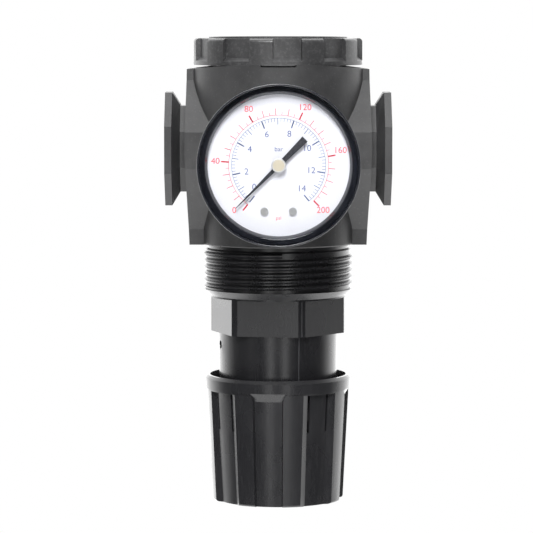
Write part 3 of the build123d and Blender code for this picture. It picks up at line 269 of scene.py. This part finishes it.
class Recipe:
    """The node tree of one material or of the world."""

    def __init__(self, owner):
        self.owner = owner
        owner.use_nodes = True
        self.tree = owner.node_tree
        self.tree.nodes.clear()

    def fill(self, socket, value):
        if isinstance(value, Value):
            self.tree.links.new(value.socket, socket)
        elif isinstance(value, bpy.types.NodeSocket):
            self.tree.links.new(value, socket)
        elif socket.type == "RGBA" and len(value) == 3:
            socket.default_value = (*value, 1.0)
        else:
            socket.default_value = value

    def node(self, kind, settings=None, inputs=None):
        """Adds a node: its settings first, then the values or links of its sockets."""
        made = self.tree.nodes.new(kind)
        for name, value in (settings or {}).items():
            setattr(made, name, value)
        for name, value in (inputs or {}).items():
            self.fill(made.inputs[name], value)
        return made

    def place(self, stretch=(1.0, 1.0, 1.0)):
        """Object coordinates, stretched along each axis."""
        source = self.node("ShaderNodeTexCoord").outputs["Object"]
        mapping = self.node("ShaderNodeMapping", None, {"Vector": source, "Scale": stretch})
        return mapping.outputs["Vector"]

    def noise(self, place, scale, detail=2.0, roughness=0.5):
        made = self.node("ShaderNodeTexNoise", None,
                         {"Vector": place, "Scale": scale, "Detail": detail,
                          "Roughness": roughness})
        return Value(self, made.outputs["Fac"])

    def blend(self, factor, low, high):
        """Colour between two, by a value."""
        made = self.node("ShaderNodeMix", {"data_type": "RGBA"})
        self.fill(made.inputs["Factor"], factor)
        self.fill(made.inputs[6], low)
        self.fill(made.inputs[7], high)
        return made.outputs[2]

    def bump(self, height, strength, distance, below=None):
        made = self.node("ShaderNodeBump", None,
                         {"Height": height, "Strength": strength, "Distance": distance})
        if below is not None:
            self.fill(made.inputs["Normal"], below)
        return made.outputs["Normal"]

    def surface(self, **sockets):
        """Principled surface that ends the material. Underscores in names stand for spaces."""
        shader = self.node("ShaderNodeBsdfPrincipled", None,
                           {name.replace("_", " "): value for name, value in sockets.items()})
        self.finish(shader.outputs["BSDF"])
        return self.owner

    def finish(self, shader):
        output = self.node("ShaderNodeOutputMaterial")
        self.fill(output.inputs["Surface"], shader)


def new_recipe(name):
    return Recipe(bpy.data.materials.new(name))


# ------------------------------------------------------------------ finishes
def cast_paint(tones):
    """Satin enamel over a die casting: fine grit, a faint orange peel and dusty patches."""
    mix = new_recipe("body_paint")
    place = mix.place()
    patches = mix.noise(place, 70, 4, 0.6).ramp(0.35, 0.7)
    grit = mix.noise(place, 2600, 2, 0.6)
    peel = mix.noise(place, 520, 2)
    speck = mix.noise(place, 1500, 1).ramp(0.62, 0.74)
    shade = mix.blend(patches * 0.5 + speck * 0.5, tones.paint, tones.paint_worn)
    gritty = mix.bump(grit, 0.35, 0.00008)
    normal = mix.bump(peel, 0.18, 0.00012, gritty)
    return mix.surface(Base_Color=shade, Roughness=0.44 + 0.10 * patches, Normal=normal)


def moulding(tones, name, stretch, roughness):
    """Glass-filled nylon: fibres drawn along the flow under a satin, finely grained skin."""
    mix = new_recipe(name)
    flow = mix.place(stretch)
    place = mix.place()
    fibres = mix.noise(flow, 900, 2, 0.5)
    grain = mix.noise(place, 2400, 1)
    haze = mix.noise(place, 45, 3).ramp(0.2, 0.85)
    share = fibres.ramp(0.45, 0.8) * 0.6 + haze * 0.4
    shade = mix.blend(share, tones.moulding, tones.moulding_pale)
    normal = mix.bump(grain, 0.06, 0.00002)
    return mix.surface(Base_Color=shade, Roughness=roughness + 0.08 * haze, Normal=normal)


def cap_moulding(tones):
    """Sand-blasted moulding of the cap: a coarse, dull and slightly dusty black."""
    mix = new_recipe("cap_black")
    place = mix.place()
    grit = mix.noise(place, 2200, 2, 0.6)
    dust = mix.noise(place, 900, 3, 0.7).ramp(0.45, 0.75)
    cloud = mix.noise(place, 60, 3).ramp(0.35, 0.7)
    shade = mix.blend(dust * 0.6 + cloud * 0.4, tones.cap, tones.cap_dusty)
    return mix.surface(Base_Color=shade, Roughness=0.38 + 0.14 * cloud,
                       Normal=mix.bump(grit, 0.3, 0.00006))


def gloss_black(tones):
    """Polished black moulding of the gauge's case, with faint wipe marks."""
    mix = new_recipe("gauge_black")
    place = mix.place()
    wipe = mix.noise(mix.place((1.0, 1.0, 0.2)), 260, 3).ramp(0.4, 0.8)
    grain = mix.noise(place, 2400, 1)
    return mix.surface(Base_Color=mix.blend(wipe, tones.gauge, (0.012, 0.013, 0.018)),
                       Roughness=0.16 + 0.05 * wipe, Normal=mix.bump(grain, 0.02, 0.00001))


def clear_window():
    """Clear moulded window: see-through square on, glossy at a slant."""
    mix = new_recipe("window")
    ripple = mix.noise(mix.place(), 30, 0)
    normal = mix.bump(ripple, 0.01, 0.00002)
    through = mix.node("ShaderNodeBsdfTransparent", None, {"Color": (0.985, 0.99, 1.0)})
    gloss = mix.node("ShaderNodeBsdfGlossy", None, {"Color": (1.0, 1.0, 1.0), "Roughness": 0.03,
                                                    "Normal": normal})
    slant = Value(mix, mix.node("ShaderNodeLayerWeight", None, {"Blend": 0.5}).outputs["Facing"])
    both = mix.node("ShaderNodeMixShader")
    mix.fill(both.inputs[0], 0.03 + 0.97 * slant.math("POWER", slant, 5.0))
    mix.fill(both.inputs[1], through.outputs[0])
    mix.fill(both.inputs[2], gloss.outputs[0])
    mix.finish(both.outputs[0])
    return mix.owner


def dial_white(tones):
    """White baked lacquer on the dial plate."""
    mix = new_recipe("dial_white")
    place = mix.place()
    cloud = mix.noise(place, 120, 3).ramp(0.3, 0.8)
    shade = mix.blend(cloud, tones.dial, (0.71, 0.705, 0.73))
    return mix.surface(Base_Color=shade, Roughness=0.38 + 0.08 * cloud,
                       Normal=mix.bump(mix.noise(place, 2200, 1), 0.05, 0.00003))


def ink(name, shade):
    """Screen-printed ink with a slightly uneven film."""
    mix = new_recipe(name)
    film = mix.noise(mix.place(), 1400, 2).ramp(0.3, 0.75)
    pale = tuple(min(1.0, part * 1.25 + 0.02) for part in shade)
    return mix.surface(Base_Color=mix.blend(film, tuple(shade), pale), Roughness=0.45 + 0.1 * film)


def satin_metal(name, shade, dull, roughness, grain, stretch=(1.0, 1.0, 1.0)):
    """Metal with a drawn or turned grain and a little tarnish."""
    mix = new_recipe(name)
    place = mix.place(stretch)
    lines = mix.noise(place, grain, 3, 0.6)
    tarnish = mix.noise(mix.place(), 140, 4, 0.6).ramp(0.45, 0.8)
    return mix.surface(Base_Color=mix.blend(tarnish, shade, dull), Metallic=1.0,
                       Roughness=roughness + 0.12 * lines + 0.1 * tarnish,
                       Normal=mix.bump(lines, 0.12, 0.00003))


def hub_metal(tones):
    """Warm turned metal: rings about the gauge's axis and a paler rim."""
    mix = new_recipe("hub_metal")
    source = mix.node("ShaderNodeTexCoord").outputs["Object"]
    centred = mix.node("ShaderNodeMapping", None,
                       {"Vector": source, "Location": (-DIAL_MIDDLE.x, 0.0, -DIAL_MIDDLE.z)})
    parts = mix.node("ShaderNodeSeparateXYZ", None, {"Vector": centred.outputs["Vector"]})
    across = Value(mix, parts.outputs["X"])
    up = Value(mix, parts.outputs["Z"])
    radius = across.math("SQRT", across * across + up * up)
    rings = radius.math("SINE", radius * HUB_RINGS)
    edge = radius.ramp(*HUB_RIM)
    shade = mix.blend(edge, tones.hub, (0.62, 0.61, 0.59))
    return mix.surface(Base_Color=shade, Metallic=0.35, Roughness=0.36 - 0.08 * edge,
                       Normal=mix.bump(rings, 0.08, 0.00002))


def nitrile():
    """Moulded nitrile rubber with a dull bloom."""
    mix = new_recipe("rubber")
    bloom = mix.noise(mix.place(), 260, 4, 0.6).ramp(0.4, 0.75)
    return mix.surface(Base_Color=mix.blend(bloom, (0.018, 0.018, 0.018), (0.040, 0.040, 0.042)),
                       Roughness=0.62 + 0.15 * bloom,
                       Normal=mix.bump(mix.noise(mix.place(), 1800, 2), 0.2, 0.00004))


# ------------------------------------------------------------------ bench tools
def deselect():
    bpy.ops.object.select_all(action="DESELECT")


def pick(piece):
    deselect()
    piece.select_set(True)
    bpy.context.view_layer.objects.active = piece


def settle(piece, name, finish, body="root"):
    """Puts the piece's place into its mesh, gives it a finish and lets it ride on a body."""
    pick(piece)
    bpy.ops.object.transform_apply(location=True, rotation=True, scale=True)
    piece.name = name
    piece.data.name = name
    piece.data.materials.clear()
    piece.data.materials.append(finish)
    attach(piece, body)
    return piece


def outward():
    """Merges doubles and turns all faces outwards, in edit mode."""
    bpy.ops.mesh.select_mode(type="VERT")
    bpy.ops.mesh.select_all(action="SELECT")
    bpy.ops.mesh.remove_doubles(threshold=PRINT_WELD)
    bpy.ops.mesh.normals_make_consistent(inside=False)


def apply_modifier(piece, kind, **settings):
    modifier = piece.modifiers.new(kind.lower(), kind)
    for name, value in settings.items():
        setattr(modifier, name, value)
    pick(piece)
    bpy.ops.object.modifier_apply(modifier=modifier.name)


def join(pieces, name):
    deselect()
    for piece in pieces:
        piece.select_set(True)
    bpy.context.view_layer.objects.active = pieces[0]
    bpy.ops.object.join()
    pieces[0].name = name
    return pieces[0]


def from_axis(point):
    """Distance of a point from the gauge's axis."""
    return math.hypot(point.x - DIAL_MIDDLE.x, point.z - DIAL_MIDDLE.z)


def round_gauge_rim(piece):
    """Rolls the outer edge of the case's front with a larger radius than the other edges get."""
    mesh = piece.data
    front = min(vertex.co.y for vertex in mesh.vertices)
    reach = max(from_axis(vertex.co) for vertex in mesh.vertices
                if vertex.co.y < front + RIM_SLACK)
    pick(piece)
    bpy.ops.object.mode_set(mode="EDIT")
    bpy.ops.mesh.select_mode(type="EDGE")
    bpy.ops.mesh.select_all(action="DESELECT")
    bpy.ops.object.mode_set(mode="OBJECT")
    for edge in mesh.edges:
        ends = [mesh.vertices[index].co for index in edge.vertices]
        edge.select = all(end.y < front + RIM_SLACK and from_axis(end) > reach - RIM_SLACK
                          for end in ends)
    bpy.ops.object.mode_set(mode="EDIT")
    bpy.ops.mesh.bevel(offset=sizes().rim_round, segments=RIM_SEGMENTS, clamp_overlap=True)
    bpy.ops.object.mode_set(mode="OBJECT")


def rounded_copy(node, radius, segments):
    """Copy of a CAD node with its triangles merged into flats and its edges rounded."""
    source = frame["nodes"][node]
    piece = source.copy()
    piece.data = source.data.copy()
    piece.parent = None
    bpy.context.scene.collection.objects.link(piece)
    piece.name = node + "_shell"
    pick(piece)
    bpy.ops.mesh.customdata_custom_splitnormals_clear()
    bpy.ops.object.mode_set(mode="EDIT")
    bpy.ops.mesh.select_mode(type="VERT")
    bpy.ops.mesh.select_all(action="SELECT")
    bpy.ops.mesh.remove_doubles(threshold=SHELL_WELD)
    bpy.ops.mesh.dissolve_limited(angle_limit=FLAT_LIMIT, use_dissolve_boundaries=False)
    bpy.ops.object.mode_set(mode="OBJECT")
    if node == "gauge_case":
        round_gauge_rim(piece)
    apply_modifier(piece, "BEVEL", width=radius * MM, segments=segments, limit_method="ANGLE",
                   angle_limit=ROUND_LIMIT, miter_outer="MITER_ARC", use_clamp_overlap=True)
    bpy.ops.object.shade_smooth_by_angle(angle=SMOOTH_LIMIT)
    apply_modifier(piece, "WEIGHTED_NORMAL", mode="FACE_AREA", weight=50, keep_sharp=True)
    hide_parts(node)
    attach(piece, source["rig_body"])
    return piece


def dial_place(radius, angle):
    """Point in front of the dial, by radius and angle."""
    depth = DIAL_FRONT - sizes().ink_lift - sizes().ink_thickness / 2
    return Vector((DIAL_MIDDLE.x + radius * math.cos(angle), depth,
                   DIAL_MIDDLE.z + radius * math.sin(angle)))


def ticks(first, step, count, inner, outer, width):
    """Row of scale lines: one is made in place, and the rest are spun round the gauge's axis."""
    inner, outer, width = inner * MM, outer * MM, width * MM
    bpy.ops.mesh.primitive_cube_add(size=1, location=dial_place((inner + outer) / 2, first),
                                    rotation=(0, -first, 0),
                                    scale=(outer - inner, sizes().ink_thickness, width))
    piece = bpy.context.object
    bpy.ops.object.transform_apply(location=True, rotation=True, scale=True)
    bpy.ops.object.mode_set(mode="EDIT")
    bpy.ops.mesh.select_all(action="SELECT")
    bpy.ops.mesh.spin(steps=count - 1, dupli=True, angle=step * (count - 1),
                      center=dial_place(0, 0), axis=(0, -1, 0))
    bpy.ops.object.mode_set(mode="OBJECT")
    return piece


def arc(radius, first, sweep, width):
    """Printed arc of a scale: a small section spun round the gauge's axis, with its ends filled."""
    bpy.ops.mesh.primitive_cube_add(size=1, location=dial_place(radius, first),
                                    rotation=(0, -first, 0),
                                    scale=(width * MM, sizes().ink_thickness, width * MM / 2))
    piece = bpy.context.object
    bpy.ops.object.transform_apply(location=True, rotation=True, scale=True)
    bpy.ops.object.mode_set(mode="EDIT")
    bpy.ops.mesh.select_mode(type="FACE")
    bpy.ops.mesh.select_all(action="DESELECT")
    bpy.ops.object.mode_set(mode="OBJECT")
    along = Vector((math.sin(first), 0, -math.cos(first)))
    for face in piece.data.polygons:
        face.select = face.normal.dot(along) > 0.9
    bpy.ops.object.mode_set(mode="EDIT")
    bpy.ops.mesh.spin(steps=ARC_STEPS, dupli=False, angle=sweep, center=dial_place(0, 0),
                      axis=(0, -1, 0))
    outward()
    bpy.ops.object.mode_set(mode="OBJECT")
    return piece


def lettering(text, height, place):
    """Printed characters, centred on a place of the dial, made a mesh."""
    bpy.ops.object.text_add(location=(0, 0, 0))
    words = bpy.context.object
    words.data.body = text
    words.data.align_x = "CENTER"
    words.data.align_y = "CENTER"
    words.data.resolution_u = 4
    words.data.size = 1.0
    bpy.context.view_layer.update()
    words.data.size = height / max(words.dimensions.y, 0.01)
    words.data.extrude = sizes().ink_thickness / 2
    pick(words)
    bpy.ops.object.convert(target="MESH")
    words.rotation_euler = (math.radians(90), 0, 0)
    words.location = place
    bpy.ops.object.transform_apply(location=True, rotation=True, scale=True)
    bpy.ops.object.mode_set(mode="EDIT")
    outward()
    bpy.ops.object.mode_set(mode="OBJECT")
    return words


def sizes():
    return bpy.context.scene.regulator_sizes


def colours():
    return bpy.context.scene.regulator_colours


def scale_angle(bar):
    return ZERO_ANGLE - ANGLE_PER_BAR * bar


# ------------------------------------------------------------------ operators
class REGULATOR_OT_finishes(bpy.types.Operator):
    """Mix the finishes and give each CAD node the one its material slot names"""

    bl_idname = "regulator.finishes"
    bl_label = "Finishes"

    def execute(self, context):
        tones = colours()
        made = {
            "body_paint": cast_paint(tones),
            "moulded_black": moulding(tones, "moulded_black", (1.0, 1.0, 0.12), 0.24),
            "gauge_black": gloss_black(tones),
            "window": clear_window(),
            "dial_white": dial_white(tones),
            "pointer_black": ink("pointer_black", tuple(tones.pointer)),
            "hub_metal": hub_metal(tones),
            "brass": satin_metal("brass", (0.60, 0.40, 0.15), (0.38, 0.26, 0.12), 0.24, 700),
            "steel": satin_metal("steel", (0.56, 0.56, 0.55), (0.42, 0.41, 0.38), 0.26, 900),
            "spring_steel": satin_metal("spring_steel", (0.34, 0.34, 0.36), (0.22, 0.21, 0.20),
                                        0.3, 1200, (1.0, 1.0, 3.0)),
            "aluminium": satin_metal("aluminium", (0.68, 0.68, 0.70), (0.55, 0.55, 0.56), 0.3, 500),
            "rubber": nitrile(),
        }
        for row in frame["record"]["subparts"]:
            mesh = frame["nodes"][row["node"]].data
            mesh.materials.clear()
            mesh.materials.append(made[row["material_slot"]])
        ink("blue_ink", tuple(tones.blue_ink))
        ink("blue_line", tuple(tones.blue_line))
        ink("red_ink", tuple(tones.red_ink))
        cap = frame["nodes"]["valve_cap"].data
        cap.materials.clear()
        cap.materials.append(cap_moulding(tones))
        return {"FINISHED"}


class REGULATOR_OT_rounded_parts(bpy.types.Operator):
    """Round the edges of the castings, mouldings and turned pieces"""

    bl_idname = "regulator.rounded_parts"
    bl_label = "Rounded castings and mouldings"

    def execute(self, context):
        for node, radius, segments in ROUNDED_NODES:
            rounded_copy(node, radius, segments)
        return {"FINISHED"}


class REGULATOR_OT_dial_print(bpy.types.Operator):
    """Print both scales, their numerals and unit marks on the dial"""

    bl_idname = "regulator.dial_print"
    bl_label = "Dial print"

    def execute(self, context):
        size = sizes()
        bar = ANGLE_PER_BAR
        psi = ANGLE_PER_BAR * BAR_PER_PSI
        inner_arc = size.bar_arc / MM
        outer_arc = size.psi_arc / MM
        fine = [
            arc(size.bar_arc, ZERO_ANGLE, BAR_FULL * bar, 0.12),
            ticks(ZERO_ANGLE, 0.2 * bar, BAR_FULL * 5 + 1, inner_arc - 1.25, inner_arc, 0.14),
            ticks(ZERO_ANGLE, bar, BAR_FULL + 1, inner_arc - 2.2, inner_arc, 0.22),
        ]
        bold = [ticks(ZERO_ANGLE, 2 * bar, BAR_FULL // 2 + 1, inner_arc - 2.7, inner_arc, 0.42)]
        for value in range(0, BAR_FULL + 1, 2):
            angle = scale_angle(value) + math.radians(BAR_NUDGE.get(value, 0))
            place = dial_place(size.bar_numerals, angle)
            bold.append(lettering(str(value), size.bar_height, place))
        bold.append(lettering("bar", UNIT_HEIGHT * MM,
                              dial_place(BAR_MARK_RADIUS * MM, math.radians(90))))
        red = [
            arc(size.psi_arc, ZERO_ANGLE, PSI_FULL * psi, 0.14),
            ticks(ZERO_ANGLE, 5 * psi, PSI_FULL // 5 + 1, outer_arc, outer_arc + 1.1, 0.15),
            ticks(ZERO_ANGLE, 10 * psi, PSI_FULL // 10 + 1, outer_arc, outer_arc + 2.3, 0.2),
            ticks(ZERO_ANGLE, 40 * psi, PSI_FULL // 40 + 1, outer_arc, outer_arc + 2.6, 0.5),
        ]
        for value in range(0, PSI_FULL + 1, 40):
            angle = scale_angle(value * BAR_PER_PSI) + math.radians(PSI_NUDGE.get(value, 0))
            place = dial_place(size.psi_numerals, angle)
            red.append(lettering(str(value), size.psi_height, place))
        red.append(lettering("psi", UNIT_HEIGHT * MM,
                             dial_place(PSI_MARK_RADIUS * MM, math.radians(270))))
        prints = (
            (fine, "bar_scale_lines", "blue_line"),
            (bold, "bar_scale", "blue_ink"),
            (red, "psi_scale", "red_ink"),
        )
        for pieces, name, finish in prints:
            settle(join(pieces, name), name, bpy.data.materials[finish], "root")
        return {"FINISHED"}


class REGULATOR_OT_port_threads(bpy.types.Operator):
    """Wind the ridge of the pipe thread round the wall of both ports"""

    bl_idname = "regulator.port_threads"
    bl_label = "Port threads"

    def execute(self, context):
        size = sizes()
        bore = PORT_BORE * MM
        start = THREAD_START * MM
        foot = bore + RIDGE_SUNK * MM
        for name, side in (("inlet_thread", -1), ("outlet_thread", 1)):
            # a three-sided tube, so short that merging its ends leaves one open triangle
            bpy.ops.mesh.primitive_cylinder_add(vertices=3, radius=size.port_ridge, depth=0.1 * MM,
                                                end_fill_type="NOTHING", location=(0, 0, 0))
            piece = bpy.context.object
            bpy.ops.object.mode_set(mode="EDIT")
            bpy.ops.mesh.select_all(action="SELECT")
            bpy.ops.mesh.remove_doubles(threshold=0.2 * MM)
            bpy.ops.object.mode_set(mode="OBJECT")
            # section of the ridge in the XZ plane: a triangle that points to the bore's axis
            half = size.port_pitch * RIDGE_HALF
            section = ((-half, foot), (0, bore - size.port_ridge), (half, foot))
            for vertex, (along, out) in zip(piece.data.vertices, section):
                vertex.co = (side * (start - half) + along, 0, out)
            apply_modifier(piece, "SCREW", axis="X", angle=math.radians(360), steps=40,
                           render_steps=40, iterations=THREAD_TURNS,
                           screw_offset=-side * size.port_pitch, use_smooth_shade=True)
            bpy.ops.object.mode_set(mode="EDIT")
            bpy.ops.mesh.select_mode(type="VERT")
            bpy.ops.mesh.select_all(action="SELECT")
            bpy.ops.mesh.fill_holes(sides=3)
            outward()
            bpy.ops.object.mode_set(mode="OBJECT")
            bpy.ops.object.shade_smooth_by_angle(angle=math.radians(40))
            settle(piece, name, bpy.data.materials["body_paint"], "root")
        return {"FINISHED"}


class REGULATOR_OT_parting_lines(bpy.types.Operator):
    """Raise the parting lines that the mould leaves on the bonnet"""

    bl_idname = "regulator.parting_lines"
    bl_label = "Parting lines"

    def execute(self, context):
        size = sizes()
        lines = []
        for top, bottom, top_radius, bottom_radius in SEAM_RUNS:
            for side in (0, math.pi):
                angle = SEAM_TURN + side
                bpy.ops.mesh.primitive_cube_add(size=1, location=(0, 0, (top + bottom) / 2 * MM),
                                                scale=(size.seam_width, 2 * size.seam_height,
                                                       (top - bottom) * MM))
                piece = bpy.context.object
                bpy.ops.object.transform_apply(location=True, rotation=True, scale=True)
                for vertex in piece.data.vertices:
                    radius = top_radius if vertex.co.z > (top + bottom) / 2 * MM else bottom_radius
                    out = radius * MM + vertex.co.y
                    across = vertex.co.x
                    vertex.co.x = out * math.sin(angle) + across * math.cos(angle)
                    vertex.co.y = -out * math.cos(angle) + across * math.sin(angle)
                bpy.ops.object.mode_set(mode="EDIT")
                outward()
                bpy.ops.object.mode_set(mode="OBJECT")
                apply_modifier(piece, "BEVEL", width=SEAM_ROUND * MM, segments=2,
                               limit_method="ANGLE", angle_limit=math.radians(40))
                lines.append(piece)
        settle(join(lines, "parting_lines"), "parting_lines",
               bpy.data.materials["moulded_black"], "root")
        return {"FINISHED"}


class REGULATOR_OT_stage(bpy.types.Operator):
    """Set the floor, the studio light and the camera"""

    bl_idname = "regulator.stage"
    bl_label = "Stage"

    def execute(self, context):
        scene = context.scene
        setup = scene.regulator_stage
        deselect()
        bpy.ops.mesh.primitive_plane_add(size=FLOOR_SIZE,
                                         location=(0, 0, KNOB_END - setup.floor_drop))
        floor = bpy.context.object
        floor.name = "floor"
        bpy.ops.object.transform_apply(location=True, rotation=True, scale=True)
        pale = new_recipe("floor_white")
        cloud = pale.noise(pale.place(), 3, 3).ramp(0.2, 0.8)
        pale.surface(Base_Color=pale.blend(cloud, (0.93, 0.93, 0.93), (0.91, 0.91, 0.91)),
                     Roughness=0.8, Emission_Color=(1.0, 1.0, 1.0),
                     Emission_Strength=setup.floor_glow)
        floor.data.materials.append(pale.owner)

        for name, place, size, setting in LIGHTS:
            self.light(name, place, size, getattr(setup, setting))

        lens = bpy.data.cameras.new("camera")
        lens.lens = setup.camera_lens
        lens.sensor_width = 36
        lens.clip_end = 50
        camera = bpy.data.objects.new("camera", lens)
        camera.location = setup.camera_place
        camera.rotation_euler = (setup.camera_tilt, 0, 0)
        scene.collection.objects.link(camera)
        scene.camera = camera
        scene.view_settings.view_transform = "Standard"
        self.sweep(scene, setup)
        return {"FINISHED"}

    def light(self, name, place, size, watts):
        """Soft light that faces the part."""
        data = bpy.data.lights.new(name, "AREA")
        data.shape = "RECTANGLE"
        data.size, data.size_y = size
        data.energy = watts
        light = bpy.data.objects.new(name, data)
        light.location = place
        light.rotation_euler = (LIGHT_TARGET - light.location).to_track_quat("-Z", "Y").to_euler()
        bpy.context.scene.collection.objects.link(light)

    def sweep(self, scene, setup):
        """White sweep behind the part, a darker room in front of it, and plain white to the eye."""
        world = bpy.data.worlds.new("sweep")
        scene.world = world
        mix = Recipe(world)
        way = mix.node("ShaderNodeTexCoord").outputs["Generated"]
        parts = mix.node("ShaderNodeSeparateXYZ", None, {"Vector": way})
        behind = Value(mix, parts.outputs["Y"]).ramp(*SWEEP_REACH, setup.front_glow,
                                                     setup.back_glow)
        ceiling = Value(mix, parts.outputs["Z"]).ramp(*CEILING_REACH, 0.0, CEILING_GLOW)
        seen = Value(mix, mix.node("ShaderNodeLightPath").outputs["Is Camera Ray"])
        reflected = behind + ceiling
        strength = reflected + seen * (1.0 - reflected)
        background = mix.node("ShaderNodeBackground", None,
                              {"Color": (1.0, 1.0, 1.0), "Strength": strength})
        output = mix.node("ShaderNodeOutputWorld")
        mix.fill(output.inputs["Surface"], background.outputs[0])


class REGULATOR_PT_panel(bpy.types.Panel):
    """Buttons and settings of the regulator's looks"""

    bl_label = "Regulator"
    bl_idname = "REGULATOR_PT_panel"
    bl_space_type = "VIEW_3D"
    bl_region_type = "UI"
    bl_category = "Regulator"

    def draw(self, context):
        for step in STEPS:
            self.layout.operator(step.bl_idname)
        for group in ("regulator_sizes", "regulator_colours", "regulator_stage"):
            owner = getattr(context.scene, group)
            box = self.layout.box()
            for name in owner.__annotations__:
                box.prop(owner, name)


GROUPS = (RegulatorSizes, RegulatorColours, RegulatorStage)
STEPS = (
    REGULATOR_OT_finishes,
    REGULATOR_OT_rounded_parts,
    REGULATOR_OT_dial_print,
    REGULATOR_OT_port_threads,
    REGULATOR_OT_parting_lines,
    REGULATOR_OT_stage,
)


def register():
    for kind in (*GROUPS, *STEPS, REGULATOR_PT_panel):
        bpy.utils.register_class(kind)
    bpy.types.Scene.regulator_sizes = bpy.props.PointerProperty(type=RegulatorSizes)
    bpy.types.Scene.regulator_colours = bpy.props.PointerProperty(type=RegulatorColours)
    bpy.types.Scene.regulator_stage = bpy.props.PointerProperty(type=RegulatorStage)


def unregister():
    del bpy.types.Scene.regulator_stage
    del bpy.types.Scene.regulator_colours
    del bpy.types.Scene.regulator_sizes
    for kind in reversed((*GROUPS, *STEPS, REGULATOR_PT_panel)):
        bpy.utils.unregister_class(kind)


def main():
    register()
    deselect()
    for step in STEPS:
        group, name = step.bl_idname.split(".")
        getattr(getattr(bpy.ops, group), name)()


if __name__ == "__main__":
    main()
